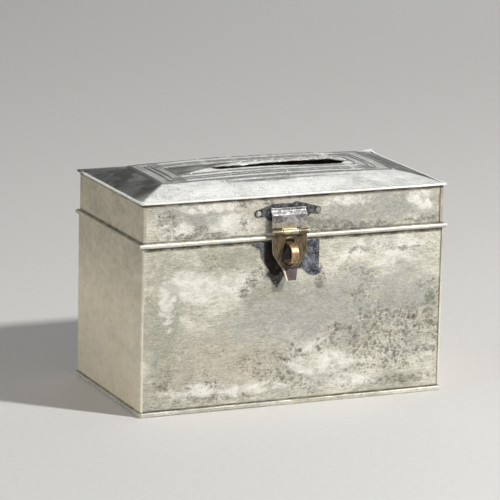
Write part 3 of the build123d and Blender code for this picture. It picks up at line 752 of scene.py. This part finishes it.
def lid_mesh():
    """The top sheet and its folded rim as one closed mesh."""
    inner_x, outer_x = PANEL_HALF.x - RIDGE_INSETS[-1] - 1.0, PANEL_HALF.x + 1.5
    right = steps(0, inner_x, COLUMN) + steps(inner_x, outer_x, FINE_COLUMN)
    right += steps(outer_x, sheet_half.x, COLUMN) + [sheet_half.x]
    xs = [-x for x in reversed(right[1:])] + right
    columns = len(xs) - 1
    bm = bmesh.new()
    top, under = {}, {}
    for side in (-1, 1):
        for i, x in enumerate(xs):
            width = slot_half_width(x, side)
            edge_y = SLOT_Y + side * width
            for j in range(ROWS + 1):
                key = (side, i, j)
                if side > 0 and j == 0 and width == 0 and slot_half_width(x, -1) == 0:
                    top[key], under[key] = top[(-1, i, 0)], under[(-1, i, 0)]
                    continue
                y = edge_y + (side * sheet_half.y - edge_y) * row_share(j / ROWS)
                px, py = rounded(x, y, sheet_half)
                inset = min(sheet_half.x - abs(x), sheet_half.y - abs(y))
                z = rim_z + sheet_z(x, y, side) + rim_lift(x, y) * smoothstep(9, 0, inset)
                drop = SHEET if inset > 0.2 else SHEET * 0.7
                top[key] = bm.verts.new((px * MM, py * MM, z * MM))
                under[key] = bm.verts.new((px * MM, py * MM, (z - drop) * MM))
    for side in (-1, 1):
        for i in range(columns):
            for j in range(ROWS):
                quad = [(side, i, j), (side, i + 1, j), (side, i + 1, j + 1), (side, i, j + 1)]
                bm.faces.new([top[k] for k in quad])
                bm.faces.new([under[k] for k in quad])
    for i in range(columns):
        a, b = (1, i, 0), (1, i + 1, 0)
        if top[a] is top[(-1, i, 0)] and top[b] is top[(-1, i + 1, 0)]:
            continue
        for side in (-1, 1):
            a, b = (side, i, 0), (side, i + 1, 0)
            bm.faces.new([top[a], top[b], under[b], under[a]])
    loop = [(-1, i, ROWS) for i in range(columns)]
    loop += [(-1, columns, j) for j in range(ROWS, 0, -1)]
    loop += [(1, columns, j) for j in range(ROWS)]
    loop += [(1, i, ROWS) for i in range(columns, 0, -1)]
    loop += [(1, 0, j) for j in range(ROWS, 0, -1)]
    loop += [(-1, 0, j) for j in range(ROWS)]
    rings = [[top[k] for k in loop]]
    for out, up in RIM_PROFILE:
        ring = []
        for key in loop:
            x, y = top[key].co.x / MM, top[key].co.y / MM
            inner = Vector((
                min(max(x, -sheet_half.x + RIM_RADIUS), sheet_half.x - RIM_RADIUS),
                min(max(y, -sheet_half.y + RIM_RADIUS), sheet_half.y - RIM_RADIUS),
            ))
            away = (Vector((x, y)) - inner).normalized()
            z = top[key].co.z / MM + up
            ring.append(bm.verts.new(((x + away.x * out) * MM, (y + away.y * out) * MM, z * MM)))
        rings.append(ring)
    rings.append([under[k] for k in loop])
    for ring, following in zip(rings, rings[1:]):
        for n in range(len(loop)):
            m = (n + 1) % len(loop)
            bm.faces.new([ring[n], ring[m], following[m], following[n]])
    bmesh.ops.recalc_face_normals(bm, faces=bm.faces)
    mesh = bpy.data.meshes.new("lid_sheet")
    bm.to_mesh(mesh)
    bm.free()
    soften(mesh, 50)
    return mesh


lid_tin = tin(
    "lid top tin", (0.93, 0.925, 0.89), (0.76, 0.755, 0.72), 171.0, (30, 0.5, 3), dents=0.10, shine=0.08,
    cover=0.22, grime_and_shade=panel_dirt, metallic=0.96, grit=0.25, streak=0.4,
    tarnish_and_shade=slope_tarnish_and_reflection, films_and_shade=lid_streaks_and_shade,
)
lid_sheet = add_piece("lid_top_sheet", lid_mesh(), "lid", lid_tin, "lid_top")


def rim_tarnish(s):
    """The rim is dark along the back, except at the knocked corner."""
    return s.times(s.span(s.y, 30, 38), s.span(s.x, 66, 60))


# The folded rim is the second material of the sheet.
lid_sheet.data.materials.append(tin(
    "rim tin", (0.95, 0.94, 0.88), (0.82, 0.80, 0.72), 191.0, (3, 3, 3), dents=0.05, shine=0.30, cover=0.15,
    metallic=0.45, grit=0.3, streak=0.2, tarnish_and_shade=rim_tarnish,
))
rim_band = RIM_FLAT * 0.7
for face in lid_sheet.data.polygons:
    from_edge = min(sheet_half.x - abs(face.center.x / MM), sheet_half.y - abs(face.center.y / MM))
    if from_edge < rim_band:
        face.material_index = 1

# Hardware: soft-edged, uneven copies of the CAD shapes.
tongue_z = corners("hasp")[0].z  # the tongue's lower end
knuckle_z = corners("hasp_strap")[0].z  # underside of the strap's knuckle


def tongue_patina(s):
    """The hasp's tongue has a violet-grey tarnish."""
    return s.span(s.z, tongue_z + 7.2, tongue_z + 6.0)


def tongue_edge(s):
    """The lower and left edges of the tongue are rubbed bright."""
    above = s.minus(s.z, tongue_z)
    foot = s.span(above, 0.65, 0.35)
    from_left = s.plus(s.plus(s.x, s.times(above, 0.2)), 5.9)
    left = s.times(s.span(from_left, 0.42, 0.22), s.span(above, 6.5, 5.5))
    return s.most(foot, left)


def knuckle_brass(s):
    """Brass shows through on the strap's knuckle and just above it."""
    return s.span(s.z, knuckle_z + 6.5, knuckle_z + 3.0)


def soot_and_hasp_shadow(s):
    """The middle and left of the staple's plate are black: sooty, and with the hasp's shadow painted on."""
    return s.times(s.span(s.x, -16.0, -15.2), s.span(s.x, 3.4, 1.6))


def add_worn(node, body, seed, voxel, smoothing, dents, dent_size, material):
    """Puts a worn copy of a CAD node in its place."""
    mesh = worn_mesh(node, voxel, smoothing, dents, dent_size, seed)
    add_piece(f"{node}_worn", mesh, body, material, node)


add_worn(
    "hasp_wings", "lid", 1, voxel=0.14, smoothing=6, dents=0.26, dent_size=1.5,
    material=lead("wing lead", (0.17, 0.17, 0.175), (0.022, 0.022, 0.024), 5.0, 0.5, 0.18, 0.5),
)
add_worn(
    "hasp_strap", "lid", 2, voxel=0.13, smoothing=4, dents=0.16, dent_size=2.2,
    material=lead("strap lead", (0.52, 0.50, 0.49), (0.13, 0.125, 0.13), 15.0, 0.8, 0.05, 0.32,
                  knuckle_brass),
)
add_worn(
    "hasp_wing_rivets", "lid", 3, voxel=0.12, smoothing=4, dents=0.15, dent_size=0.9,
    material=lead("rivet lead", (0.62, 0.61, 0.56), (0.25, 0.25, 0.22), 25.0),
)
add_worn(
    "staple_plate", "box", 4, voxel=0.14, smoothing=6, dents=0.24, dent_size=1.7,
    material=lead("plate lead", (0.23, 0.245, 0.28), (0.022, 0.022, 0.026), 35.0, 0.5, 0.2, 0.55,
                  burnt_and_shaded=soot_and_hasp_shadow),
)
add_worn(
    "staple", "box", 5, voxel=0.13, smoothing=5, dents=0.16, dent_size=2.0,
    material=brass("staple brass", (0.55, 0.37, 0.20), (0.27, 0.17, 0.085), 45.0, (2, 1, 1)),
)
add_worn(
    "hasp", "hasp", 6, voxel=0.13, smoothing=5, dents=0.12, dent_size=3.5,
    material=brass("hasp brass", (0.165, 0.128, 0.076), (0.062, 0.047, 0.028), 55.0, patina=tongue_patina,
                   edge=tongue_edge),
)

# ---------------------------------------------------------------- stage
bpy.ops.mesh.primitive_plane_add(size=6.0)
floor = bpy.context.object
floor.name = "floor"
pale = Surface("pale floor", 0.0)
speckle = pale.noise(3.0, 3)
floor_colour = pale.mix(pale.span(speckle, 0.3, 0.7), (0.56, 0.55, 0.53), (0.585, 0.575, 0.555))
assign(floor, pale.finish(floor_colour, 0.8, pale.bump(speckle, 0.02)))

world = bpy.data.worlds.new("studio")
bpy.context.scene.world = world
world.use_nodes = True
nodes, links = world.node_tree.nodes, world.node_tree.links
background = nodes["Background"]
direction = nodes.new("ShaderNodeTexCoord").outputs["Generated"]
parts = nodes.new("ShaderNodeSeparateXYZ")
links.new(direction, parts.inputs[0])
ramp = nodes.new("ShaderNodeValToRGB")
links.new(parts.outputs["Z"], ramp.inputs[0])
SKY = ((0.0, 0.10), (0.20, 0.16), (0.34, 0.45), (0.5, 0.9), (1.0, 0.9))
while len(ramp.color_ramp.elements) < len(SKY):
    ramp.color_ramp.elements.new(0.5)
for element, (height, level) in zip(ramp.color_ramp.elements, SKY):
    element.position = height
    element.color = (level, level, level * 1.01, 1)
links.new(ramp.outputs[0], background.inputs["Color"])
background.inputs["Strength"].default_value = 0.30


def area_light(name, towards, distance, size, power):
    """A soft light that shines at the box from a direction."""
    data = bpy.data.lights.new(name, "AREA")
    data.shape = "ELLIPSE"
    data.size, data.size_y = size
    data.energy = power
    lamp = bpy.data.objects.new(name, data)
    bpy.context.scene.collection.objects.link(lamp)
    way = Vector(towards).normalized()
    lamp.location = way * distance
    lamp.rotation_euler = way.to_track_quat("Z", "Y").to_euler()
    lamp.visible_camera = False


area_light("key", (0.92, -1.0, 1.12), 1.6, (0.12, 0.12), 30)
area_light("back", (0.54, 0.84, 0.50), 1.6, (1.15, 1.35), 3.0)
area_light("fill", (-1.0, -0.05, 0.30), 1.8, (1.2, 0.8), 13)

# The camera: 1.5 m away, to the left of the box's front and a little above it.
AZIMUTH, ELEVATION, ROLL = math.radians(-23.59), math.radians(12.65), math.radians(1.17)
CAMERA_PLACE = Vector((-0.594, -1.349, 0.394))
SENSOR = 36.0
back = Vector((
    math.sin(AZIMUTH) * math.cos(ELEVATION), -math.cos(AZIMUTH) * math.cos(ELEVATION), math.sin(ELEVATION)
))
right = (-back).cross(Vector((0, 0, 1))).normalized()
up = back.cross(right)
camera_data = bpy.data.cameras.new("camera")
camera_data.sensor_width = SENSOR
camera_data.lens = 234.6
camera = bpy.data.objects.new("camera", camera_data)
turn = Matrix((right, up, back)).transposed() @ Matrix.Rotation(ROLL, 3, "Z")
camera.matrix_world = Matrix.Translation(CAMERA_PLACE) @ turn.to_4x4()
bpy.context.scene.collection.objects.link(camera)
bpy.context.scene.camera = camera
bpy.context.scene.view_settings.view_transform = "Standard"
